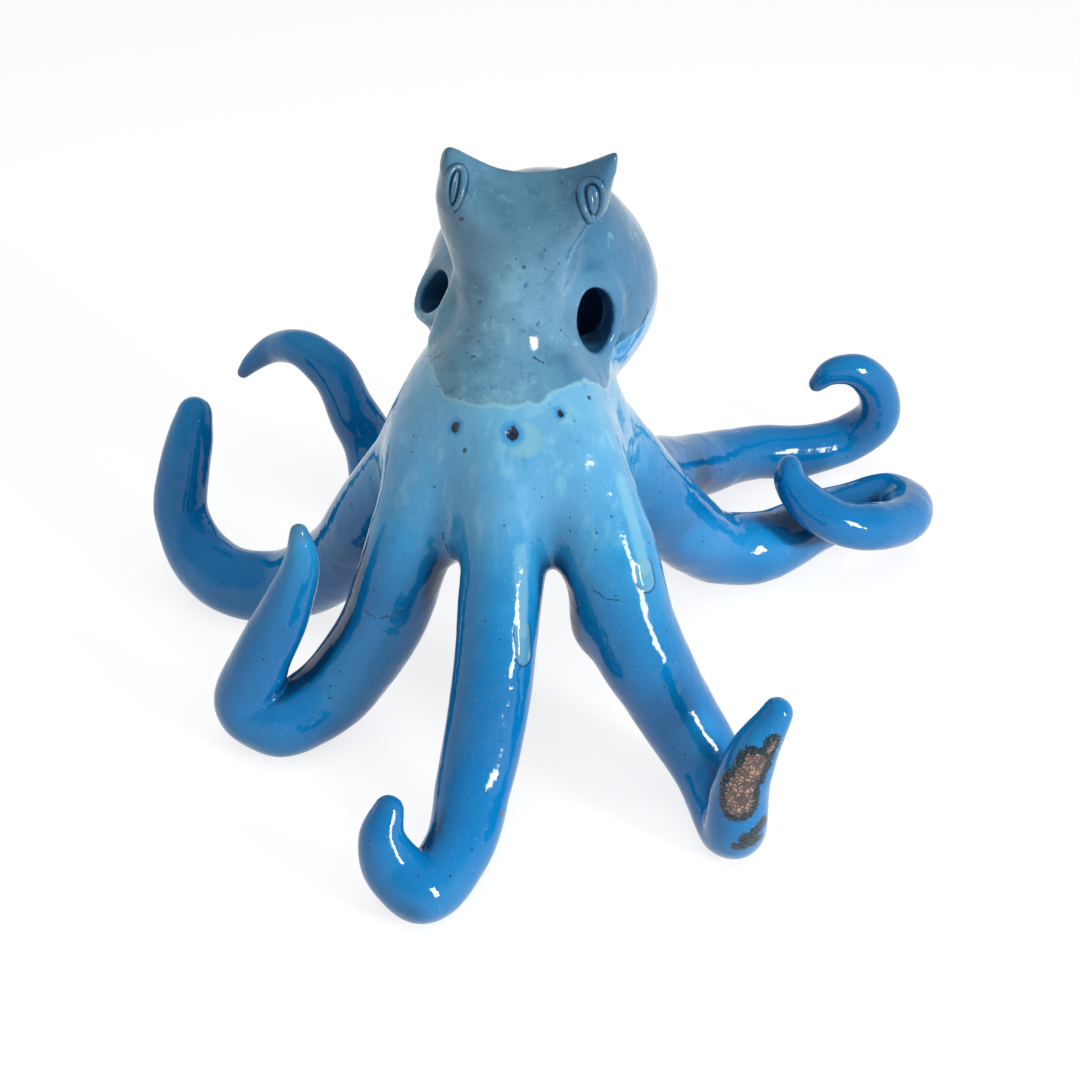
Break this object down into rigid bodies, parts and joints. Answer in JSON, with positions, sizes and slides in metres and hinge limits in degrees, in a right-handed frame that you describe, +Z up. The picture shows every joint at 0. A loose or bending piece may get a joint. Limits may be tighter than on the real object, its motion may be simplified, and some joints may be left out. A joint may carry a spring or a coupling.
{
  "type": "octopus figurine",
  "caption": "Hand-modelled glazed ceramic octopus figurine with a hollow mantle, browed head and curling arms; a free-standing ornament.",
  "frame": {"origin": "on the floor, under the middle of the figure's bounding box", "axes": "+Z up, the face looks along -Y, +X to the right as seen from the front"},
  "size_m": [0.266, 0.2646, 0.1825],
  "materials": {
    "blue_glaze": "gloss",
    "grey_blue_glaze": "gloss"
  },
  "bodies": {
    "root": {"body": "blue_glaze", "arm_front": "blue_glaze", "arm_front_right": "blue_glaze", "arm_right": "blue_glaze", "arm_back_right": "blue_glaze", "arm_back": "blue_glaze", "arm_back_left": "blue_glaze", "arm_left": "blue_glaze", "arm_front_left": "blue_glaze", "head": "grey_blue_glaze", "mantle": "grey_blue_glaze", "funnel_left": "grey_blue_glaze", "funnel_right": "grey_blue_glaze", "eye_ring_left": "grey_blue_glaze", "eye_ring_right": "grey_blue_glaze", "pupil_left": "grey_blue_glaze", "pupil_right": "grey_blue_glaze"}
  },
  "joints": []
}
